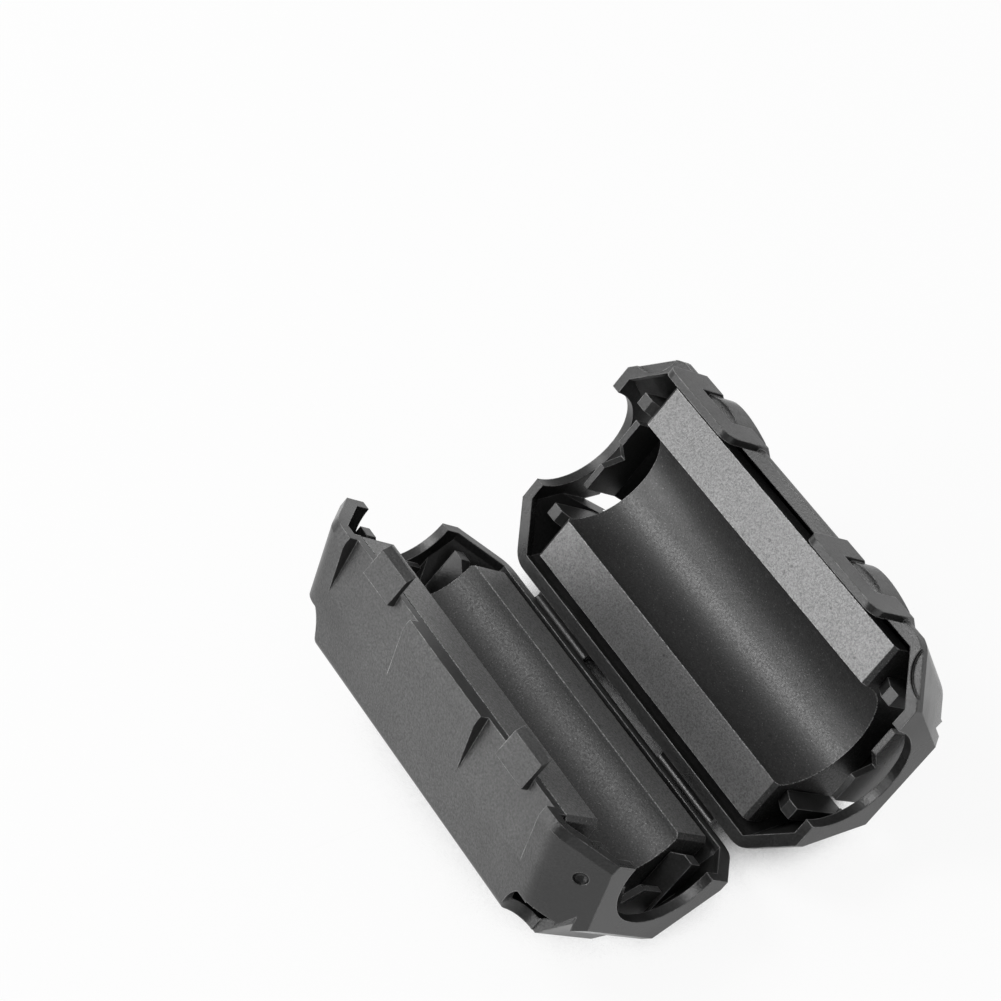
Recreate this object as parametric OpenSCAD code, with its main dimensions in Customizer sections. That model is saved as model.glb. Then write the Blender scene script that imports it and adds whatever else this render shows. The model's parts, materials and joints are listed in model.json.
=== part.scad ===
// Clip-on ferrite bead, open, standing on its hinge side.
// Millimetres. X runs along the cable, Z is up. The origin lies on the floor under the hinge line.
// A half is drawn in its own frame: mating plane at z = 0, body below it, latch side at +y, hinge side at -y.

/* [Bead] */
// Length over the two end plates
body_len = 35; // [34:0.5:36]
// Width of a half at the mating plane
body_w = 19.6; // [19.4:0.1:19.8]
// Height of one half
half_h = 9.1; // [9:0.1:9.4]
// Angle between the two mating planes at rest
open_angle = 88; // [80:1:96]

/* [Shell] */
// Width of the flat on top of a half
flat_w = 10.8; // [10.4:0.2:11.2]
// Height of the upright wall below the mating plane
wall_h = 0.8; // [0.6:0.1:1]
// Thickness of the side walls
wall = 0.9; // [0.8:0.05:1]
// Thickness of the end plates
end_wall = 0.75; // [0.6:0.05:0.9]
// Length of the chamfer at each end
end_chamfer = 3.1; // [2.8:0.1:3.4]
// How far the end chamfer comes in at the mating plane
end_drop = 3.5; // [3.2:0.1:3.8]
// Lower edge of the end plate below the mating plane
end_plate_h = 5.7; // [5.6:0.1:6]
// Radius of the cable hole in an end plate
cable_r = 4.5; // [4.2:0.1:4.6]
// Radius of the soft edge between side and flat
edge_r = 1.2; // [0.8:0.1:1.6]
// Radius of the soft edge between side and end chamfer
end_edge_r = 2; // [1:0.1:2]

/* [Cable tongue] */
// Width of a tongue
tongue_w = 6.35; // [6:0.05:6.6]
// Thickness of a tongue
tongue_t = 0.5; // [0.4:0.05:0.6]
// Height of a tongue's free edge below the mating plane
tongue_tip = 2.9; // [2.8:0.1:3.2]
// Depth of the notch in the free edge
notch_h = 1.4; // [1:0.1:1.6]
// Width of the notch in the free edge
notch_w = 2.2; // [1.6:0.1:2.6]

/* [Core spring] */
// Length of the spring strip moulded into the flat
spring_len = 17.2; // [16:0.2:17.6]
// Width of the spring strip
spring_w = 4.2; // [3.8:0.1:4.6]
// Width of the slot on each side of it
spring_slot = 1.1; // [0.9:0.1:1.2]
// How far each of its two bows sags towards the core
spring_sag = 0.7; // [0.6:0.05:0.8]

/* [Ferrite core] */
// Distance from a core's end to the end of the bead
core_end = 4.1; // [3.8:0.1:4.4]
// Distance from a core's side to the side of the bead
core_edge = 1.7; // [1.6:0.05:2]
// Radius of the channel for the cable
core_r = 4.65; // [4.6:0.05:4.8]
// Bevel at the core's ends
core_bevel = 0.35; // [0.25:0.05:0.8]

/* [Latch] */
// Distance of a latch from the middle of the bead
latch_x = 8.55; // [8.4:0.05:8.7]
// Width of a latch loop
loop_w = 7.66; // [7.4:0.02:7.8]
// Height of a loop above the mating plane
loop_h = 3.85; // [3.6:0.05:4]
// Width of the window in a loop
window_w = 3.6; // [3.5:0.05:3.7]
// Width of a catch block
block_w = 3.2; // [3:0.05:3.3]
// Running clearance between the moving parts of a latch
latch_gap = 0.1; // [0.1:0.01:0.12]

/* [Film hinge] */
// Width of one hinge strap
strap_w = 6.5; // [6:0.1:6.6]
// Distance of a strap's middle from the middle of the bead
strap_x = 8.1; // [8:0.1:8.3]
// Thickness of the film
film_t = 0.3; // [0.25:0.05:0.35]

/* [Hidden] */
$fn = 96;
big = 60;
half_w = body_w / 2;
flat_hw = flat_w / 2;
// gap that each half keeps from the shared mating plane
face_gap = 0.03;
// the hinge line runs this far outside the wall
hinge_out = 0.4;
hinge_y = half_w + hinge_out;
half_angle = 90 - open_angle / 2;
panel_tilt = atan((half_w - flat_hw) / (half_h - wall_h));
end_x = body_len / 2;
chamfer_x = end_x - end_chamfer;
// normals of wall, side and flat, pointing into the body (y, z)
n_wall = [-1, 0];
n_side = [-cos(panel_tilt), sin(panel_tilt)];
n_flat = [0, 1];
p_wall = [half_w, -wall_h];
p_flat = [flat_hw, -half_h];
side_angle = atan(end_chamfer / (end_drop * cos(panel_tilt)));
wall_angle = atan(end_chamfer / end_drop);
floor_angle = atan(end_chamfer / (half_h - end_plate_h));
rest_corner = inset(p_flat, n_side, n_flat, edge_r);
// height of the hinge line above the floor
rest_h = edge_r - sin(half_angle) * (rest_corner[0] * -1 + hinge_y) - cos(half_angle) * rest_corner[1];
core_len = body_len - 2 * core_end;
tongue_in = end_x - 1.5;
// round pockets beside the tongues, and the slot that frees the end plate
scoop_r = 1.78;
scoop_x = end_x - 3.35;
scoop_y = flat_hw - 0.32;
scoop_floor = half_h - 2.45;
side_slot = flat_hw - 0.65;
// posts at the core's ends: centre (x, y), length along x, width, top and ramp below the mating plane
post_at = [end_x - 2.55, flat_hw - 0.05];
post_l = 0.9;
post_w = 1;
post_top = 0.7;
post_ramp = 0.7;
core_play = 0.15;
spring_t = 0.8;
bow_r = (pow(spring_len / 4, 2) + pow(spring_sag, 2)) / (2 * spring_sag);
core_gap = 0.05;
core_bottom = half_h - spring_sag - spring_t - core_gap;
core_side = 0.24;
core_hw = half_w - core_edge;
// the latch, outwards: floor of the pocket, face of the block, loop, pad
pocket_y = half_w - 0.85;
block_face = half_w - 0.38;
loop_in = block_face + latch_gap;
loop_out = half_w + 0.28;
pad_in = loop_in + latch_gap;
pad_out = half_w + 0.48;
pad_r = 3.8;
pad_w = 4.6;
pocket_w = loop_w + 0.34;
pocket_fade = [half_w - 2.12, 4.8];
window_top = 1.65;
block_tip = 1.15;
block_back = 1.75;
block_top = 0.95;

black = [0.10, 0.10, 0.105];
grey = [0.27, 0.27, 0.275];

function inset(p, n1, n2, t) = p + t * (n1 + n2) / (1 + n1 * n2);
function flip(p) = [-p[0], p[1]];

loop_shell();
catch_shell();
film_hinge();
loop_core();
catch_core();

// the loop half leans to +Y, the catch half to -Y
module place_loop_half() {
    translate([0, 0, rest_h]) rotate([half_angle, 0, 0]) translate([0, hinge_y, 0]) children();
}

module place_catch_half() {
    rotate([0, 0, 180]) place_loop_half() children();
}

module both_ends() {
    children();
    mirror([1, 0, 0]) children();
}

module both_sides() {
    children();
    mirror([0, 1, 0]) children();
}

module along_x(length) {
    rotate([90, 0, 90]) translate([0, 0, -length / 2]) linear_extrude(length) children();
}

module along_y(length) {
    rotate([90, 0, 0]) translate([0, 0, -length / 2]) linear_extrude(length) children();
}

// what a round edge of radius r leaves off at the origin, between faces with
// outward normals n1 and n2
module edge_waste(n1, n2, r) {
    c = -r * (n1 + n2) / (1 + n1 * n2);
    difference() {
        polygon([c, c + (r + 1) * n1, c + (r + 1) * n2]);
        translate(c) circle(r);
    }
}

// section of a half, every face moved in by t, drawn as (y, z)
module half_section(t, top, r_side, r_edge) {
    a = inset(p_wall, n_wall, n_side, t);
    b = inset(p_flat, n_side, n_flat, t);
    difference() {
        polygon([[half_w - t, top], a, b, flip(b), flip(a), flip([half_w - t, top])]);
        for (m = [0, 1]) mirror([m, 0]) {
            translate(a) edge_waste(-n_wall, -n_side, r_side);
            translate(b) edge_waste(-n_side, -n_flat, r_edge);
        }
    }
}

// closed form of a half, every face moved in by t and the end faces by t_end
module half_form(t, t_end, top, r_side, r_edge) {
    difference() {
        along_x(body_len - 2 * t_end) half_section(t, top, r_side, r_edge);
        both_ends() both_sides() {
            translate([chamfer_x, half_w, -wall_h]) rotate([-panel_tilt, 0, 0])
                rotate([0, 0, side_angle]) translate([-t, -big / 2, -big / 2]) cube(big);
            translate([chamfer_x, half_w, 0]) rotate([0, 0, wall_angle])
                translate([-t, -big / 2, -big / 2]) cube(big);
        }
        both_ends() translate([chamfer_x, 0, -half_h]) rotate([0, floor_angle, 0])
            translate([-t, -big / 2, -big / 2]) cube(big);
    }
}

// the soft edges between sides and end chamfers
module end_edge_waste() {
    both_ends() both_sides() translate([chamfer_x, half_w, -wall_h]) {
        rotate([-panel_tilt, 0, 0]) translate([0, 0, -half_h * 2]) linear_extrude(3 * half_h)
            edge_waste([0, 1], [cos(side_angle), sin(side_angle)], end_edge_r);
        linear_extrude(wall_h + 1) edge_waste([0, 1], [cos(wall_angle), sin(wall_angle)], end_edge_r);
    }
}

// hollow shell with plain end plates
module shell_blank() {
    difference() {
        half_form(0, 0, -face_gap, 1.6, edge_r);
        end_edge_waste();
        half_form(wall, end_wall, 1, 0.7, 0.4);
        rotate([0, 90, 0]) cylinder(r = cable_r, h = body_len + 2, center = true);
    }
}

// openings beside and below the cable tongues
module end_openings() {
    both_ends() {
        translate([chamfer_x + 0.05, -side_slot, -half_h - 1])
            cube([end_x - end_wall - chamfer_x - 0.05, 2 * side_slot, half_h]);
        both_sides() {
            translate([scoop_x, scoop_y, -half_h - 1]) cylinder(r = scoop_r, h = half_h + 1 - scoop_floor);
            translate([scoop_x, tongue_w / 2, -half_h - 1])
                cube([1, scoop_y - tongue_w / 2, half_h + 1 - scoop_floor]);
        }
    }
}

module cable_tongue() {
    difference() {
        along_y(tongue_w) polygon([
            [chamfer_x - 0.8, -half_h + wall],
            [chamfer_x - 0.8, -half_h + 0.02],
            [chamfer_x + 0.05, -half_h + 0.02],
            [tongue_in - 0.05, -scoop_floor],
            [tongue_in, -tongue_tip],
            [tongue_in - tongue_t, -tongue_tip],
            [tongue_in - tongue_t - 0.05, -scoop_floor + 0.4],
            [chamfer_x - 0.2, -half_h + wall]
        ]);
        along_x(big) polygon([
            [-notch_w / 2, -tongue_tip + 0.01],
            [0, -tongue_tip - notch_h],
            [notch_w / 2, -tongue_tip + 0.01]
        ]);
    }
}

// W-shaped leaf: two bows that press on the core
module core_spring() {
    intersection() {
        translate([-spring_len / 2, -spring_w / 2, -half_h]) cube([spring_len, spring_w, half_h]);
        both_ends() translate([spring_len / 4, 0, -half_h + spring_sag - bow_r]) rotate([90, 0, 0])
            difference() {
                cylinder(r = bow_r + spring_t, h = spring_w, center = true);
                cylinder(r = bow_r, h = spring_w + 1, center = true);
            }
    }
}

module spring_window() {
    translate([-spring_len / 2, -spring_w / 2 - spring_slot, -half_h - 1])
        cube([spring_len, spring_w + 2 * spring_slot, half_h - 5]);
}

// posts at the ends of the core, with a ramp that guides it in
module core_posts() {
    near = post_at[0] - post_l / 2;
    far = post_at[0] + post_l / 2;
    stop = core_len / 2 + core_play;
    both_ends() both_sides() intersection() {
        half_form(wall / 2, end_wall / 2, 0, 1, 0.6);
        translate([0, post_at[1], 0]) along_y(post_w) polygon([
            [far, -post_top],
            [near, -post_top],
            [stop, -post_top - post_ramp],
            [stop, -scoop_floor],
            [far, -scoop_floor]
        ]);
    }
}

module shell_half() {
    difference() {
        shell_blank();
        end_openings();
        spring_window();
    }
    both_ends() cable_tongue();
    core_spring();
    core_posts();
}

// one loop: two legs, a bar over the window and the bulged pad below it
module latch_loop() {
    difference() {
        intersection() {
            along_x(loop_w) polygon([
                [half_w - wall - 0.2, -2.9],
                [half_w - 1.1, -2.9],
                [loop_out, -0.9],
                [loop_out, loop_h],
                [loop_in, loop_h],
                [loop_in, -face_gap],
                [half_w - wall, -face_gap]
            ]);
            union() {
                translate([-loop_w / 2, 0, -4]) cube([loop_w, big, loop_h + 3]);
                both_ends() translate([loop_w / 2 - 1, big / 2, loop_h - 1])
                    rotate([90, 0, 0]) cylinder(r = 1, h = big, center = true);
                translate([-loop_w / 2 + 1, 0, 0]) cube([loop_w - 2, big, loop_h + 1]);
            }
        }
        loop_window();
    }
    loop_pad();
}

module loop_window() {
    translate([-window_w / 2, half_w - wall - 0.1, -2]) cube([window_w, 3, window_top + 2]);
}

module loop_pad() {
    intersection() {
        translate([0, pad_out - pad_r, -4.6]) cylinder(r = pad_r, h = 5.1);
        along_x(pad_w) polygon([
            [half_w - 1.5, -4.5],
            [pad_out + 0.22, -1.3],
            [pad_out + 0.22, 1],
            [pad_in, 1],
            [pad_in, -1.95],
            [half_w - 1.5, -1.95]
        ]);
    }
}

// marks left in the rim by ejector pins
module pin_marks() {
    both_ends() translate([end_x - 0.4, half_w - 0.5, -face_gap - 0.25]) cylinder(r = 2.4, h = 1);
}

module loop_shell() {
    color(black) place_loop_half() difference() {
        union() {
            difference() {
                shell_half();
                both_ends() translate([latch_x, 0, 0]) loop_window();
            }
            both_ends() translate([latch_x, 0, 0]) latch_loop();
        }
        pin_marks();
    }
}

// recess that takes a loop, deepest at the rim
module catch_pocket() {
    along_x(pocket_w) polygon([
        [pocket_y, 1],
        [pocket_y, 0],
        [pocket_fade[0], -pocket_fade[1]],
        [half_w + 1, -pocket_fade[1]],
        [half_w + 1, 1]
    ]);
}

// the block ends in a slope that lets the loop ride over it
module catch_block() {
    along_x(block_w) polygon([
        [pocket_y - 0.35, -block_top],
        [block_face, -block_top],
        [block_face, block_tip],
        [pocket_y, block_back],
        [pocket_y, 0],
        [pocket_y - 0.35, -face_gap]
    ]);
}

// thicker inside behind the pockets, following the core
module pocket_backing() {
    w = core_hw + 0.12;
    n = wall + core_side / 2;
    a = inset(p_wall, n_wall, n_side, n);
    along_x(2 * (latch_x + pocket_w / 2 + 0.6)) polygon([
        [w, -face_gap],
        [w, -wall_h - (half_w - w) / tan(panel_tilt) + n / sin(panel_tilt)],
        [a[0] - 3 * sin(panel_tilt), a[1] - 3 * cos(panel_tilt)],
        [half_w - 1.2, -4],
        [half_w - 0.3, -face_gap]
    ]);
}

module catch_shell() {
    color(black) place_catch_half() {
        difference() {
            union() {
                shell_half();
                intersection() {
                    pocket_backing();
                    half_form(0.1, 0.1, 0, 1.5, edge_r);
                }
            }
            both_ends() translate([latch_x, 0, 0]) catch_pocket();
            translate([-end_x + 1.2, half_w - 2.95, -2.5]) sphere(r = 0.55);
        }
        both_ends() translate([latch_x, 0, 0]) catch_block();
    }
}

module half_core() {
    side = wall + core_side;
    a = inset(p_wall, n_wall, n_side, side);
    drop = core_bottom;
    low_y = a[0] - (drop + a[1]) * tan(panel_tilt);
    shoulder = -a[1] + (a[0] - core_hw) / tan(panel_tilt);
    difference() {
        along_x(core_len) polygon([
            [core_hw, -face_gap],
            [core_hw, -shoulder],
            [low_y, -drop],
            [-low_y, -drop],
            [-core_hw, -shoulder],
            [-core_hw, -face_gap]
        ]);
        rotate([0, 90, 0]) cylinder(r = core_r, h = big, center = true);
        both_ends() {
            translate([core_len / 2 - core_bevel, 0, 0]) rotate([0, -45, 0])
                translate([0, -big / 2, -big / 2]) cube(big);
        }
    }
}

module loop_core() {
    color(grey) place_loop_half() half_core();
}

module catch_core() {
    color(grey) place_catch_half() half_core();
}

// two straps that bend about the hinge line
module film_hinge() {
    film_in = hinge_out + 0.05;
    color(black) translate([0, 0, rest_h]) both_ends() translate([strap_x, 0, 0]) difference() {
        rotate([0, 90, 0]) cylinder(r = film_in + film_t, h = strap_w, center = true);
        rotate([0, 90, 0]) cylinder(r = film_in, h = big, center = true);
        both_sides() rotate([half_angle, 0, 0]) translate([-big / 2, hinge_out, -big / 2]) cube(big);
        translate([-big / 2, -big / 2, 0]) cube(big);
    }
}
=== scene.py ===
"""Clip-on ferrite bead, standing open: looks, light and camera over the fixed CAD frame."""

from __future__ import annotations

import json
import logging
import math
from dataclasses import dataclass
from enum import Enum

import bmesh
import bpy
from mathutils import Matrix, Vector

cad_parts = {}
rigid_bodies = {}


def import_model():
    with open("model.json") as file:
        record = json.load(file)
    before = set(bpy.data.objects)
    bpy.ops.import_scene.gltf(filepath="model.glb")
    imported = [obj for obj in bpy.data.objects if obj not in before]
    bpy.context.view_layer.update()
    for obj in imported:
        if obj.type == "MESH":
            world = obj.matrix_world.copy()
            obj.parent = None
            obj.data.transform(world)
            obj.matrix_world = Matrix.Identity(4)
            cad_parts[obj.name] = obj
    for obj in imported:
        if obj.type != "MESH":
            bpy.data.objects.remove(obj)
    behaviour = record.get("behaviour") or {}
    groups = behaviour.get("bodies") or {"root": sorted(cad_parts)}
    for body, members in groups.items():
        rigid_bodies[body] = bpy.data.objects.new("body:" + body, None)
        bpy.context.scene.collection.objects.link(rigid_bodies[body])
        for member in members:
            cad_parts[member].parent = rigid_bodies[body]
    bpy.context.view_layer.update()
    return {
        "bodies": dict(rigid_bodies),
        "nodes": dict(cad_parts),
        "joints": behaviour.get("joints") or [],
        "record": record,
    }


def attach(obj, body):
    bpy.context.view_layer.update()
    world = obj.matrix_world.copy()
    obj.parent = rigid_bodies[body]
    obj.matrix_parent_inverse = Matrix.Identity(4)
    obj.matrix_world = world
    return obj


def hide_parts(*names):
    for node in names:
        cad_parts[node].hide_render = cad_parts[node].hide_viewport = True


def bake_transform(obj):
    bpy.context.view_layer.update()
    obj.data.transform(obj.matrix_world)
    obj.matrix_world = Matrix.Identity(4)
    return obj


LOG = logging.getLogger("ferrite_bead")
MM = 0.001
WELD_MM = 0.002
EDGE_SAMPLES = 6


def linear(hex_colour: str) -> tuple[float, float, float, float]:
    """Turns an sRGB hex colour into linear light.

    Args:
        hex_colour: the colour as #rrggbb.

    Returns:
        Linear red, green, blue and an alpha of 1.
    """
    parts = [int(hex_colour[i : i + 2], 16) / 255 for i in (1, 3, 5)]
    red, green, blue = (
        c / 12.92 if c <= 0.04045 else ((c + 0.055) / 1.055) ** 2.4 for c in parts
    )
    return (red, green, blue, 1.0)


def add_node(
    tree: bpy.types.NodeTree, kind: str, feeds: dict | None = None, **settings: object
) -> bpy.types.Node:
    """Adds one node with its settings, socket values and links.

    Args:
        tree: the node tree that gets it.
        kind: the node's type name.
        feeds: socket name or number to a value, or to an output socket to link from.
        settings: properties of the node.

    Returns:
        The new node.
    """
    made = tree.nodes.new(kind)
    for name, value in settings.items():
        setattr(made, name, value)
    for key, value in (feeds or {}).items():
        if isinstance(value, bpy.types.NodeSocket):
            tree.links.new(value, made.inputs[key])
        else:
            made.inputs[key].default_value = value
    return made


def ramp(
    tree: bpy.types.NodeTree,
    value: bpy.types.NodeSocket,
    over: tuple[float, float] = (0.0, 1.0),
    to: tuple[float | bpy.types.NodeSocket, float] = (0.0, 1.0),
) -> bpy.types.NodeSocket:
    """Adds a clamped ramp that carries one range of values onto another.

    Args:
        tree: the node tree that gets it.
        value: what is carried over.
        over: the two ends of its range, rising or falling.
        to: what those two ends become.

    Returns:
        The new value.
    """
    feeds = {
        "Value": value,
        "From Min": over[0],
        "From Max": over[1],
        "To Min": to[0],
        "To Max": to[1],
    }
    return add_node(tree, "ShaderNodeMapRange", feeds).outputs[0]


def reckon(
    tree: bpy.types.NodeTree, operation: str, *values: float | bpy.types.NodeSocket
) -> bpy.types.NodeSocket:
    """Adds one step of arithmetic.

    Args:
        tree: the node tree that gets it.
        operation: the step's name in Blender.
        values: what it works on.

    Returns:
        The result.
    """
    feeds = dict(enumerate(values))
    return add_node(tree, "ShaderNodeMath", feeds, operation=operation).outputs[0]


def mix(
    tree: bpy.types.NodeTree,
    share: float | bpy.types.NodeSocket,
    first: tuple[float, ...] | bpy.types.NodeSocket,
    second: tuple[float, ...],
) -> bpy.types.NodeSocket:
    """Mixes two colours.

    Args:
        tree: the node tree that gets it.
        share: how much of the second colour shows, 0 to 1.
        first: the first colour.
        second: the second colour.

    Returns:
        The mixed colour.
    """
    return add_node(tree, "ShaderNodeMixRGB", {0: share, 1: first, 2: second}).outputs[0]


def mottled(
    tree: bpy.types.NodeTree,
    colour: bpy.types.NodeSocket,
    spots: bpy.types.NodeSocket,
    clouds: bpy.types.NodeSocket,
) -> bpy.types.NodeSocket:
    """Makes a colour lighter and darker by fine spots and slow clouds.

    Args:
        tree: the node tree that gets it.
        colour: the even colour.
        spots: the factor of the fine spots.
        clouds: the factor of the slow clouds.

    Returns:
        The uneven colour.
    """
    factor = reckon(tree, "MULTIPLY", spots, clouds)
    feeds = {0: colour, "Scale": factor}
    return add_node(tree, "ShaderNodeVectorMath", feeds, operation="SCALE").outputs[0]


def noise(
    tree: bpy.types.NodeTree,
    coords: bpy.types.NodeSocket,
    size_mm: float,
    detail: float,
    roughness: float,
    seed: float | None = None,
) -> bpy.types.NodeSocket:
    """Adds a noise pattern.

    Args:
        tree: the node tree that gets it.
        coords: the object's coordinates.
        size_mm: the size of its coarsest spots.
        detail: how many finer layers it has.
        roughness: how strong the finer layers are.
        seed: which pattern it is, or None for the plain one.

    Returns:
        The pattern, from 0 to 1 about 0.5.
    """
    feeds = {
        "Vector": coords,
        "Scale": 1 / (size_mm * MM),
        "Detail": detail,
        "Roughness": roughness,
    }
    settings = {}
    if seed is not None:
        feeds["W"] = seed
        settings["noise_dimensions"] = "4D"
    return add_node(tree, "ShaderNodeTexNoise", feeds, **settings).outputs["Fac"]


def rounded_normal(tree: bpy.types.NodeTree, edge_mm: float) -> bpy.types.NodeSocket:
    """Adds the normal as it would be with every edge rounded.

    Args:
        tree: the material's nodes.
        edge_mm: the radius of the edges.

    Returns:
        The rounded normal.
    """
    feeds = {"Radius": edge_mm * MM}
    return add_node(tree, "ShaderNodeBevel", feeds, samples=EDGE_SAMPLES).outputs[0]


def edge_mask(
    tree: bpy.types.NodeTree, rounded: bpy.types.NodeSocket, bend: tuple[float, float]
) -> bpy.types.NodeSocket:
    """Finds edges, where the rounded normal turns away from the true one.

    Args:
        tree: the material's nodes.
        rounded: the normal with its edges rounded.
        bend: cosines of the turn at which an edge starts and is full.

    Returns:
        A value of 1 on edges and 0 elsewhere.
    """
    feeds = {0: rounded, 1: add_node(tree, "ShaderNodeNewGeometry").outputs["Normal"]}
    along = add_node(tree, "ShaderNodeVectorMath", feeds, operation="DOT_PRODUCT")
    return ramp(tree, along.outputs["Value"], over=bend)


def surface(tree: bpy.types.NodeTree, feeds: dict) -> None:
    """Ends a material with its shader.

    Args:
        tree: the material's nodes.
        feeds: what goes into the Principled shader.
    """
    shader = add_node(tree, "ShaderNodeBsdfPrincipled", feeds)
    add_node(tree, "ShaderNodeOutputMaterial", {0: shader.outputs[0]})


class Half(Enum):
    """The two halves of the bead, by the CAD body that carries each."""

    LOOP = "loop_half"
    CATCH = "catch_half"


@dataclass(frozen=True)
class Placing:
    """Where the halves stand.

    Each was drawn with its mating plane at z = 0 and then leaned over. Lengths are in mm.
    """

    hinge_y: float = 10.2
    rest_h: float = 2.71557
    lean: float = math.radians(46)

    def matrix(self, half: Half) -> Matrix:
        """Half frame to object frame, both in metres."""
        place = (
            Matrix.Translation((0, 0, self.rest_h * MM))
            @ Matrix.Rotation(self.lean, 4, "X")
            @ Matrix.Translation((0, self.hinge_y * MM, 0))
        )
        if half is Half.CATCH:
            place = Matrix.Rotation(math.pi, 4, "Z") @ place
        return place

    def frames(self, tree: bpy.types.NodeTree, half: Half) -> tuple[bpy.types.Node, bpy.types.Node]:
        """Adds nodes that bring the surface point and its normal into the half's own frame.

        Args:
            tree: the material's nodes.
            half: the half whose frame is meant.

        Returns:
            Separate XYZ nodes of the point, in metres, and of the normal.
        """
        place = self.matrix(half)
        turn = tuple(place.to_euler("XYZ"))
        coords = add_node(tree, "ShaderNodeTexCoord")
        point = add_node(
            tree,
            "ShaderNodeMapping",
            {
                "Vector": coords.outputs["Object"],
                "Location": tuple(place.to_translation()),
                "Rotation": turn,
            },
            vector_type="TEXTURE",
        )
        normal = add_node(
            tree,
            "ShaderNodeMapping",
            {"Vector": coords.outputs["Normal"], "Rotation": turn},
            vector_type="TEXTURE",
        )
        return (
            add_node(tree, "ShaderNodeSeparateXYZ", {0: point.outputs[0]}),
            add_node(tree, "ShaderNodeSeparateXYZ", {0: normal.outputs[0]}),
        )


def new_material(name: str) -> tuple[bpy.types.Material, bpy.types.NodeTree]:
    """Makes an empty node material.

    Args:
        name: what the real material is.

    Returns:
        The material and its node tree.
    """
    material = bpy.data.materials.new(name)
    material.use_nodes = True
    material.node_tree.nodes.clear()
    return material, material.node_tree


@dataclass(frozen=True)
class MouldedNylon:
    """Black nylon 66, injection moulded.

    The long outer sides keep the spark-eroded grain of the mould, a matte pebble, and are painted a
    lighter grey as sheen; the ends and the inside come from a polished tool, are darker and shine
    in streaks; edges and corners are painted lighter, partly from rubbing and partly as painted
    highlight. Of each pair of values, the first goes with the polished tool, the dark end of a
    pattern or the start of an edge, and the second with the long grain-cut sides, the light end or
    the full edge.
    """

    name: str
    half: Half
    placing: Placing
    polished: str = "#252525"
    grained_and_sheen: str = "#3f3f3f"
    rubbed_and_highlight: str = "#9a9a9a"
    grain_mm: float = 0.17
    grain_depth_mm: float = 0.05
    haze_mm: float = 12.0
    haze_seed: float = 1.3
    rub_and_highlight_mm: float = 1.4
    least_rub_and_highlight: float = 0.25
    edge_mm: float = 0.12
    edge_bend: tuple[float, float] = (0.985, 0.88)
    outward: tuple[float, float] = (0.75, 0.9)
    endward: tuple[float, float] = (0.4, 0.12)
    spot_gain: tuple[float, float] = (0.62, 1.5)
    cloud_gain: tuple[float, float] = (0.62, 1.42)
    dullness: tuple[float, float] = (0.36, 0.52)
    streaks: tuple[float, float] = (-0.12, 0.1)
    grain_strength: tuple[float, float] = (0.3, 1.0)
    ior: float = 1.53

    def grain_and_sheen_mask(self, tree: bpy.types.NodeTree) -> bpy.types.NodeSocket:
        """Finds where the mould's grain is cut, and where the colour is painted lighter as sheen:
        on faces that look sideways and outwards.

        Args:
            tree: the material's nodes.

        Returns:
            A value of 1 on the grained sides and 0 elsewhere.
        """
        point, normal = self.placing.frames(tree, self.half)
        side = reckon(tree, "SIGN", point.outputs["Y"])
        outwards = reckon(tree, "MULTIPLY", side, normal.outputs["Y"])
        steep = ramp(tree, outwards, over=self.outward)
        endwards = reckon(tree, "ABSOLUTE", normal.outputs["X"])
        long_face = ramp(tree, endwards, over=self.endward)
        return reckon(tree, "MULTIPLY", steep, long_face)

    def worn_and_highlight_mask(
        self, tree: bpy.types.NodeTree, coords: bpy.types.NodeSocket, rounded: bpy.types.NodeSocket
    ) -> bpy.types.NodeSocket:
        """Finds the edges that are painted lighter, patchily, partly from handling and partly as
        painted highlight.

        Args:
            tree: the material's nodes.
            coords: the object's coordinates.
            rounded: the normal with its edges rounded.

        Returns:
            A value of 1 on the lightened edges and 0 elsewhere.
        """
        edge = edge_mask(tree, rounded, self.edge_bend)
        patch = noise(tree, coords, self.rub_and_highlight_mm, detail=4.0, roughness=0.65)
        rubbed_and_highlight = ramp(tree, patch, over=(0.4, 0.62), to=(self.least_rub_and_highlight, 1.0))
        return reckon(tree, "MULTIPLY", edge, rubbed_and_highlight)

    def build(self) -> bpy.types.Material:
        """Makes the material."""
        material, tree = new_material(self.name)
        coords = add_node(tree, "ShaderNodeTexCoord").outputs["Object"]
        mask = self.grain_and_sheen_mask(tree)
        rounded = rounded_normal(tree, self.edge_mm)
        worn = self.worn_and_highlight_mask(tree, coords, rounded)

        # pebbles of the eroded mould, seen as fine light and dark spots
        grain = noise(tree, coords, self.grain_mm, detail=2.0, roughness=0.6)
        # slow clouds left by the flow of the plastic and by fingers
        haze = noise(tree, coords, self.haze_mm, 4.0, 0.62, seed=self.haze_seed)
        # the long grain-cut sides are painted a lighter grey as sheen
        base = mix(tree, mask, linear(self.polished), linear(self.grained_and_sheen))
        # edges painted lighter: partly real rubbing, partly painted highlight
        tone = mix(tree, worn, base, linear(self.rubbed_and_highlight))
        spots = ramp(tree, grain, over=(0.3, 0.7), to=self.spot_gain)
        clouds = ramp(tree, haze, over=(0.38, 0.62), to=self.cloud_gain)
        colour = mottled(tree, tone, spots, clouds)
        gloss = ramp(tree, mask, to=self.dullness)
        streak = ramp(tree, haze, over=(0.35, 0.65), to=self.streaks)
        roughness = reckon(tree, "ADD", gloss, streak)
        bump = add_node(
            tree,
            "ShaderNodeBump",
            {
                "Height": grain,
                "Strength": ramp(tree, mask, to=self.grain_strength),
                "Distance": self.grain_depth_mm * MM,
                "Normal": rounded,
            },
        )
        surface(
            tree,
            {
                "Base Color": colour,
                "Roughness": roughness,
                "Normal": bump.outputs[0],
                "IOR": self.ior,
            },
        )
        return material


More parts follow.
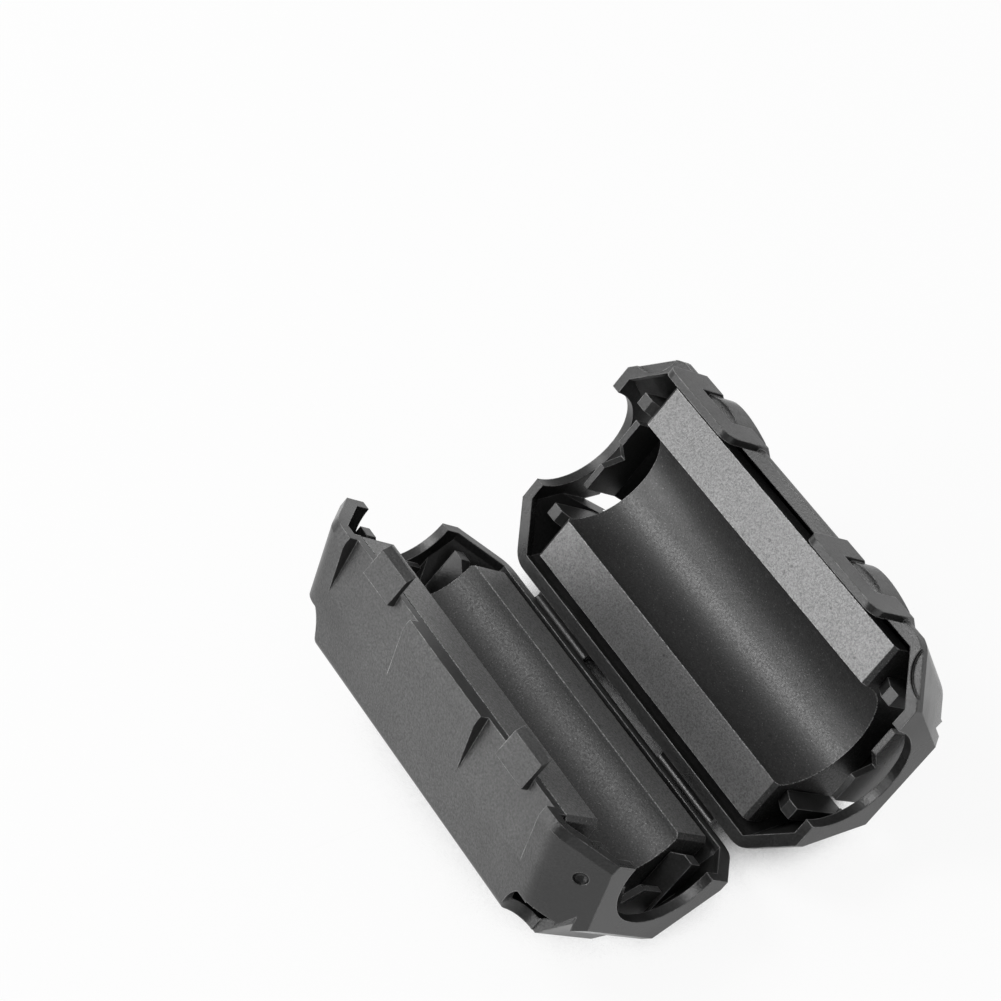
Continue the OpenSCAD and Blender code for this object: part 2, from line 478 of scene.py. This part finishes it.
@dataclass(frozen=True)
class SinteredFerrite:
    """Manganese-zinc ferrite, pressed and sintered, with ground mating faces.

    The fired skin is dark, with a dull sheen that breaks up into grains, and sparse grains are
    painted bright as sparkle; grinding leaves the mating faces even and a little lighter, with a
    few dark pits where grains pulled out, and the edges of the block are painted bright, partly
    chipping and partly painted highlight.
    """

    name: str
    half: Half
    placing: Placing
    dullness: float
    skin: str = "#2a2a2a"
    ground: str = "#565656"
    pit: str = "#1c1c1c"
    chip_and_highlight: str = "#d8d8d8"
    painted_glint: str = "#6e6e6e"
    grain_mm: float = 0.15
    painted_glint_mm: float = 0.11
    cloud_mm: float = 3.5
    pit_every_mm: float = 1.6
    pit_edge: tuple[float, float] = (0.11, 0.05)
    edge_mm: float = 0.12
    edge_bend: tuple[float, float] = (0.985, 0.9)
    level: tuple[float, float] = (0.93, 0.985)
    top_mm: tuple[float, float] = (-0.3, -0.15)
    speck_gain: tuple[float, float] = (0.4, 1.9)
    cloud_gain: tuple[float, float] = (0.88, 1.12)
    facets: tuple[float, float] = (0.11, -0.11)
    ground_closer: float = 0.07
    grain_depth_mm: float = 0.017
    shine: tuple[float, float] = (0.38, 0.52)
    end_shine: float = 0.12
    ior: float = 1.9

    def ground_mask(self, tree: bpy.types.NodeTree) -> bpy.types.NodeSocket:
        """Finds the ground mating faces: level in the half's own frame, at its mating plane.

        Args:
            tree: the material's nodes.

        Returns:
            A value of 1 on the ground faces and 0 elsewhere.
        """
        point, normal = self.placing.frames(tree, self.half)
        low, high = self.top_mm
        level = ramp(tree, normal.outputs["Z"], over=self.level)
        top = ramp(tree, point.outputs["Z"], over=(low * MM, high * MM))
        return reckon(tree, "MULTIPLY", level, top)

    def endwards(self, tree: bpy.types.NodeTree) -> bpy.types.NodeSocket:
        """Finds how far a face looks along the bead.

        Args:
            tree: the material's nodes.

        Returns:
            A value of 1 on the ends and 0 on the long faces.
        """
        normal = self.placing.frames(tree, self.half)[1]
        return reckon(tree, "ABSOLUTE", normal.outputs["X"])

    def chipped_and_highlight_mask(
        self, tree: bpy.types.NodeTree, grains: bpy.types.NodeSocket
    ) -> bpy.types.NodeSocket:
        """Finds the sharp edges, broken into small chips.

        Args:
            tree: the material's nodes.
            grains: the pattern of the grains.

        Returns:
            A value of 1 on the bright chipped edges and 0 elsewhere.
        """
        edge = edge_mask(tree, rounded_normal(tree, self.edge_mm), self.edge_bend)
        broken = ramp(tree, grains, over=(0.42, 0.58))
        return reckon(tree, "MULTIPLY", edge, broken)

    def colour(
        self,
        tree: bpy.types.NodeTree,
        coords: bpy.types.NodeSocket,
        ground: bpy.types.NodeSocket,
        grains: bpy.types.NodeSocket,
    ) -> bpy.types.NodeSocket:
        """Lays skin, ground faces, pits, painted sparkle and bright chipped edges, partly painted
        highlight, over each other.

        Args:
            tree: the material's nodes.
            coords: the object's coordinates.
            ground: 1 on the ground faces.
            grains: the pattern of the grains.

        Returns:
            The colour.
        """
        clouds = noise(tree, coords, self.cloud_mm, detail=4.0, roughness=0.6)
        chips_and_highlight = self.chipped_and_highlight_mask(tree, grains)
        pores = add_node(
            tree,
            "ShaderNodeTexVoronoi",
            {"Vector": coords, "Scale": 1 / (self.pit_every_mm * MM), "Randomness": 1.0},
        )
        pits = ramp(tree, pores.outputs["Distance"], over=self.pit_edge)
        plain = mix(tree, ground, linear(self.skin), linear(self.ground))
        specks = ramp(tree, grains, over=(0.33, 0.67), to=self.speck_gain)
        cloud = ramp(tree, clouds, over=(0.3, 0.7), to=self.cloud_gain)
        pitted = mix(tree, pits, mottled(tree, plain, specks, cloud), linear(self.pit))
        # painted glints: single grains painted as sparse bright points, where light would catch
        # them
        painted_glint_spots = noise(tree, coords, self.painted_glint_mm, detail=1.0, roughness=0.5)
        painted_glints = ramp(tree, painted_glint_spots, over=(0.66, 0.74))
        with_painted_glints = mix(tree, painted_glints, pitted, linear(self.painted_glint))
        # edges painted near white: partly real chipping, partly painted highlight
        return mix(tree, chips_and_highlight, with_painted_glints, linear(self.chip_and_highlight))

    def build(self) -> bpy.types.Material:
        """Makes the material."""
        material, tree = new_material(self.name)
        coords = add_node(tree, "ShaderNodeTexCoord").outputs["Object"]
        ground = self.ground_mask(tree)
        grains = noise(tree, coords, self.grain_mm, detail=3.0, roughness=0.75)
        colour = self.colour(tree, coords, ground, grains)
        # grinding leaves a closer surface than firing
        dulled = ramp(tree, ground, to=(self.dullness, self.dullness - self.ground_closer))
        facets = ramp(tree, grains, over=(0.3, 0.7), to=self.facets)
        roughness = reckon(tree, "ADD", dulled, facets)
        bump = add_node(
            tree,
            "ShaderNodeBump",
            {"Height": grains, "Strength": 1.0, "Distance": self.grain_depth_mm * MM},
        )
        long_shine = ramp(tree, ground, to=self.shine)
        # the pressed ends stay sooty and hardly shine
        shine = ramp(tree, self.endwards(tree), over=(0.4, 0.9), to=(long_shine, self.end_shine))
        surface(
            tree,
            {
                "Base Color": colour,
                "Roughness": roughness,
                "Normal": bump.outputs[0],
                "IOR": self.ior,
                "Specular IOR Level": shine,
            },
        )
        return material


def finish_mesh(name: str, bm: bmesh.types.BMesh, sharp_deg: float = 40) -> bpy.types.Object:
    """Turns a bmesh into a smooth-shaded object at the origin.

    Args:
        name: the piece's name.
        bm: the shape, in metres, in the object frame. It is freed.
        sharp_deg: edges bent more than this stay sharp.

    Returns:
        The object, linked to the scene.
    """
    bmesh.ops.remove_doubles(bm, verts=bm.verts, dist=WELD_MM * MM)
    bmesh.ops.recalc_face_normals(bm, faces=bm.faces)
    mesh = bpy.data.meshes.new(name)
    bm.to_mesh(mesh)
    bm.free()
    for face in mesh.polygons:
        face.use_smooth = True
    mesh.set_sharp_from_angle(angle=math.radians(sharp_deg))
    piece = bpy.data.objects.new(name, mesh)
    bpy.context.scene.collection.objects.link(piece)
    return piece


@dataclass
class CoreHalf:
    """Half of the ferrite tube: a trapezoid block with a half-round channel, ends bevelled.

    Lengths are in mm.
    """

    name: str
    node: str
    half: Half
    placing: Placing
    dullness: float
    length: float = 26.8
    half_width: float = 8.1
    shoulder: float = 1.5729
    low_half_width: float = 4.9314
    depth: float = 7.55
    bore_r: float = 4.65
    face_z: float = -0.03
    end_bevel: float = 0.35
    worn_edge: float = 0.12
    worn_over_deg: float = 20.0
    bore_steps: int = 40

    def shape(self) -> bmesh.types.BMesh:
        """Builds the core half in its own frame, in millimetres.

        Returns:
            The shape, with worn edges.
        """
        bm = bmesh.new()
        start = math.asin(-self.face_z / self.bore_r)
        first = bm.verts.new(
            (-self.length / 2, self.bore_r * math.cos(start), -self.bore_r * math.sin(start))
        )
        spun = bmesh.ops.spin(
            bm,
            geom=[first],
            cent=(0, 0, 0),
            axis=(1, 0, 0),
            angle=-(math.pi - 2 * start),
            steps=self.bore_steps,
        )
        last = [v for v in spun["geom_last"] if isinstance(v, bmesh.types.BMVert)][0]
        outline = [
            (-self.half_width, self.face_z),
            (-self.half_width, -self.shoulder),
            (-self.low_half_width, -self.depth),
            (self.low_half_width, -self.depth),
            (self.half_width, -self.shoulder),
            (self.half_width, self.face_z),
        ]
        chain = [last] + [bm.verts.new((-self.length / 2, y, z)) for y, z in outline] + [first]
        for a, b in zip(chain, chain[1:]):
            bm.edges.new((a, b))
        section = bmesh.ops.contextual_create(bm, geom=bm.edges[:])["faces"]
        grown = bmesh.ops.extrude_face_region(bm, geom=section)["geom"]
        far_end = [v for v in grown if isinstance(v, bmesh.types.BMVert)]
        bmesh.ops.translate(bm, vec=(self.length, 0, 0), verts=far_end)
        for end in (-1, 1):
            cut = bmesh.ops.bisect_plane(
                bm,
                geom=bm.verts[:] + bm.edges[:] + bm.faces[:],
                plane_co=(end * (self.length / 2 - self.end_bevel), 0, 0),
                plane_no=(end * 1.0, 0, 1.0),
                clear_outer=True,
            )
            rim = [e for e in cut["geom_cut"] if isinstance(e, bmesh.types.BMEdge)]
            for side in (1, -1):
                open_rim = [
                    e for e in rim if e.is_boundary and all(side * v.co.y > 0 for v in e.verts)
                ]
                bmesh.ops.contextual_create(bm, geom=open_rim)
        bmesh.ops.holes_fill(bm, edges=bm.edges[:], sides=0)
        bmesh.ops.recalc_face_normals(bm, faces=bm.faces)
        bend = math.radians(self.worn_over_deg)
        worn = [e for e in bm.edges if e.is_manifold and e.calc_face_angle(0) > bend]
        bmesh.ops.bevel(
            bm,
            geom=worn,
            offset=self.worn_edge,
            segments=2,
            profile=0.5,
            affect="EDGES",
            material=-1,
            clamp_overlap=True,
        )
        return bm

    def build(self) -> bpy.types.Object:
        """Builds, places, dresses and hangs the core half on its body."""
        bm = self.shape()
        bmesh.ops.transform(
            bm, matrix=self.placing.matrix(self.half) @ Matrix.Scale(MM, 4), verts=bm.verts
        )
        piece = finish_mesh(self.name, bm)
        piece.modifiers.new("even_normals", "WEIGHTED_NORMAL").keep_sharp = True
        finish = SinteredFerrite(
            f"sintered_ferrite_{self.half.value}", self.half, self.placing, self.dullness
        )
        piece.data.materials.append(finish.build())
        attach(piece, self.half.value)
        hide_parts(self.node)
        return piece


@dataclass
class FilmHinge:
    """Two thin straps that join the halves, curved half a turn under the hinge line. Lengths are in
    mm.
    """

    placing: Placing
    strap_x: float = 8.1
    strap_w: float = 6.5
    inner_r: float = 0.45
    thickness: float = 0.3
    start_deg: float = 4.0
    steps: int = 28

    def strap(self, bm: bmesh.types.BMesh, centre_x: float) -> None:
        """Adds one strap: its section spun half a turn under the hinge line, in millimetres.

        Args:
            bm: the mesh that gets it.
            centre_x: the middle of the strap along the bead.
        """
        lean = math.radians(self.start_deg)
        corners = [
            (centre_x - self.strap_w / 2, self.inner_r),
            (centre_x + self.strap_w / 2, self.inner_r),
            (centre_x + self.strap_w / 2, self.inner_r + self.thickness),
            (centre_x - self.strap_w / 2, self.inner_r + self.thickness),
        ]
        verts = [bm.verts.new((x, r * math.cos(lean), -r * math.sin(lean))) for x, r in corners]
        section = bm.faces.new(verts)
        bmesh.ops.spin(
            bm,
            geom=[section],
            cent=(0, 0, 0),
            axis=(1, 0, 0),
            angle=-(math.pi - 2 * lean),
            steps=self.steps,
        )

    def build(self) -> bpy.types.Object:
        """Builds both straps as one piece, curved between the halves."""
        bm = bmesh.new()
        for side in (-1, 1):
            self.strap(bm, side * self.strap_x)
        bmesh.ops.transform(
            bm,
            matrix=Matrix.Translation((0, 0, self.placing.rest_h * MM)) @ Matrix.Scale(MM, 4),
            verts=bm.verts,
        )
        piece = finish_mesh("hinge_straps", bm)
        piece.data.materials.append(
            MouldedNylon("moulded_nylon_film", Half.LOOP, self.placing).build()
        )
        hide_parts("film_hinge")
        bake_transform(piece)
        return piece


@dataclass
class Housing:
    """The two moulded shells, whose shapes come from the CAD."""

    frame: dict
    placing: Placing

    def build(self) -> None:
        """Dresses both shells."""
        for node, half in (("loop_shell", Half.LOOP), ("catch_shell", Half.CATCH)):
            shell = self.frame["nodes"][node]
            nylon = MouldedNylon(f"moulded_nylon_{half.value}", half, self.placing).build()
            shell.data.materials.clear()
            shell.data.materials.append(nylon)
            LOG.info("dressed %s", node)


@dataclass(frozen=True)
class Lamp:
    """One square area lamp, in metres and watts."""

    name: str
    place: tuple[float, float, float]
    size: float
    power: float


@dataclass
class Studio:
    """Pale floor, soft lamps and the camera, which stands at a place in mm."""

    lens: float = 115.58
    sensor: float = 36.0
    place: tuple[float, float, float] = (106.97, -73.86, 187.12)
    right: tuple[float, float, float] = (0.5173, 0.8558, -0.0025)
    up: tuple[float, float, float] = (-0.6666, 0.4048, 0.6260)
    sheet_glow: float = 0.92
    shade_mm: float = 20.0
    near_mm: float = 24.0
    near_fade_mm: float = 1.0
    floor_r: float = 3.0
    floor_sides: int = 64
    floor_z: float = -0.00002
    paper: str = "#f4f4f4"
    painted_shade_paper: str = "#484848"
    glow: str = "#ffffff"
    sky_grey: str = "#a0a0a0"
    aim: tuple[float, float, float] = (0.0, 0.0, 0.01)
    lamps: tuple[Lamp, ...] = (
        Lamp("low_lamp", (-0.101, -0.477, 0.112), 0.25, 0.82),
        Lamp("key_lamp", (-0.221, -0.415, 0.171), 0.25, 0.56),
        Lamp("high_lamp", (-0.237, -0.185, 0.399), 0.17, 0.92),
        Lamp("top_lamp", (-0.07, 0.0, 0.495), 0.25, 0.05),
        Lamp("left_lamp", (-0.37, 0.099, 0.321), 0.25, 0.05),
        Lamp("side_lamp", (-0.085, 0.48, 0.112), 0.25, 0.2),
        Lamp("end_lamp", (0.401, 0.281, 0.104), 0.25, 0.12),
    )

    def camera(self) -> None:
        """Places the camera."""
        data = bpy.data.cameras.new("camera")
        data.lens = self.lens
        data.sensor_width = self.sensor
        data.clip_start = 0.01
        eye = bpy.data.objects.new("camera", data)
        bpy.context.scene.collection.objects.link(eye)
        right, up = Vector(self.right).normalized(), Vector(self.up).normalized()
        back = right.cross(up)
        turn = Matrix((right, up, back)).transposed().to_4x4()
        eye.matrix_world = Matrix.Translation(Vector(self.place) * MM) @ turn
        bpy.context.scene.camera = eye

    def open_sheet(self, tree: bpy.types.NodeTree) -> bpy.types.NodeSocket:
        """Finds the open part of the floor, outside the deep shade under the bead.

        Args:
            tree: the floor's nodes.

        Returns:
            A value of 1 in the open and 0 in the shade.
        """
        room = add_node(
            tree, "ShaderNodeAmbientOcclusion", {"Distance": self.shade_mm * MM}, samples=9
        )
        return ramp(tree, room.outputs["AO"], over=(0.17, 0.33))

    def sheet(
        self,
        tree: bpy.types.NodeTree,
        seen: bpy.types.NodeSocket,
        open_share: float | bpy.types.NodeSocket,
    ) -> bpy.types.NodeSocket:
        """Mixes plain paper, painted darker in the deep shade under the bead, with a white glow
        that only the eye, reflections and glass see.

        Args:
            tree: the floor's nodes.
            seen: 1 for the rays that see the glow.
            open_share: 1 where the sheet lies open, 0 in deep shade.

        Returns:
            The mixed shader.
        """
        glowing = reckon(tree, "MULTIPLY", open_share, self.sheet_glow)
        share = reckon(tree, "MULTIPLY", seen, glowing)
        # painted shade: the paper is painted darker where AO finds deep shade under the bead
        shade = mix(tree, open_share, linear(self.painted_shade_paper), linear(self.paper))
        paper = add_node(tree, "ShaderNodeBsdfDiffuse", {"Color": shade})
        glow = add_node(
            tree, "ShaderNodeEmission", {"Color": linear(self.glow), "Strength": 1.0}
        )
        return add_node(
            tree, "ShaderNodeMixShader", {0: share, 1: paper.outputs[0], 2: glow.outputs[0]}
        ).outputs[0]

    def floor(self) -> None:
        """Makes the pale floor, which keeps a soft shadow and is painted darker in the deep shade
        under the bead.
        """
        bm = bmesh.new()
        bmesh.ops.create_circle(
            bm, cap_ends=True, radius=self.floor_r, segments=self.floor_sides
        )
        mesh = bpy.data.meshes.new("floor")
        bm.to_mesh(mesh)
        bm.free()
        ground = bpy.data.objects.new("floor", mesh)
        ground.location.z = self.floor_z
        bpy.context.scene.collection.objects.link(ground)
        material, tree = new_material("white_paper")
        rays = add_node(tree, "ShaderNodeLightPath").outputs
        seen = reckon(tree, "MAXIMUM", rays["Is Camera Ray"], rays["Is Glossy Ray"])
        seen = reckon(tree, "MAXIMUM", seen, rays["Is Transmission Ray"])
        # the shade costs time, so it is only worked out close to the bead
        coords = add_node(tree, "ShaderNodeTexCoord").outputs["Object"]
        away = add_node(tree, "ShaderNodeVectorMath", {0: coords}, operation="LENGTH")
        zone = ((self.near_mm + self.near_fade_mm) * MM, self.near_mm * MM)
        mixed = add_node(
            tree,
            "ShaderNodeMixShader",
            {
                0: ramp(tree, away.outputs["Value"], over=zone),
                1: self.sheet(tree, seen, 1.0),
                2: self.sheet(tree, seen, self.open_sheet(tree)),
            },
        )
        add_node(tree, "ShaderNodeOutputMaterial", {0: mixed.outputs[0]})
        mesh.materials.append(material)

    def sky(self) -> None:
        """Makes the world, one grey for every ray.

        A low view that looks past the floor's edge shows this grey, not white.
        """
        world = bpy.data.worlds.new("studio")
        bpy.context.scene.world = world
        world.use_nodes = True
        tree = world.node_tree
        tree.nodes.clear()
        light = add_node(
            tree, "ShaderNodeBackground", {"Color": linear(self.sky_grey), "Strength": 1.0}
        )
        add_node(tree, "ShaderNodeOutputWorld", {0: light.outputs[0]})

    def lights(self) -> None:
        """Places the soft lamps, all aimed at the bead."""
        aim = Vector(self.aim)
        for lamp in self.lamps:
            data = bpy.data.lights.new(lamp.name, "AREA")
            data.shape = "SQUARE"
            data.size = lamp.size
            data.energy = lamp.power
            hung = bpy.data.objects.new(lamp.name, data)
            hung.location = lamp.place
            hung.rotation_euler = (aim - Vector(lamp.place)).to_track_quat("-Z", "Y").to_euler()
            bpy.context.scene.collection.objects.link(hung)

    def build(self) -> None:
        """Sets up the whole studio."""
        self.camera()
        self.floor()
        self.sky()
        self.lights()
        bpy.context.scene.view_settings.view_transform = "Standard"


def main() -> None:
    """Builds every piece over the frame."""
    logging.basicConfig(level=logging.INFO, format="%(name)s: %(message)s")
    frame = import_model()
    placing = Placing()
    Studio().build()
    LOG.info("studio ready")
    Housing(frame, placing).build()
    for name, node, half, dullness in (
        ("ferrite_in_loop_half", "loop_core", Half.LOOP, 0.44),
        ("ferrite_in_catch_half", "catch_core", Half.CATCH, 0.52),
    ):
        CoreHalf(name, node, half, placing, dullness).build()
        LOG.info("built %s", name)
    FilmHinge(placing).build()
    LOG.info("built hinge_straps")


if __name__ == "__main__":
    main()
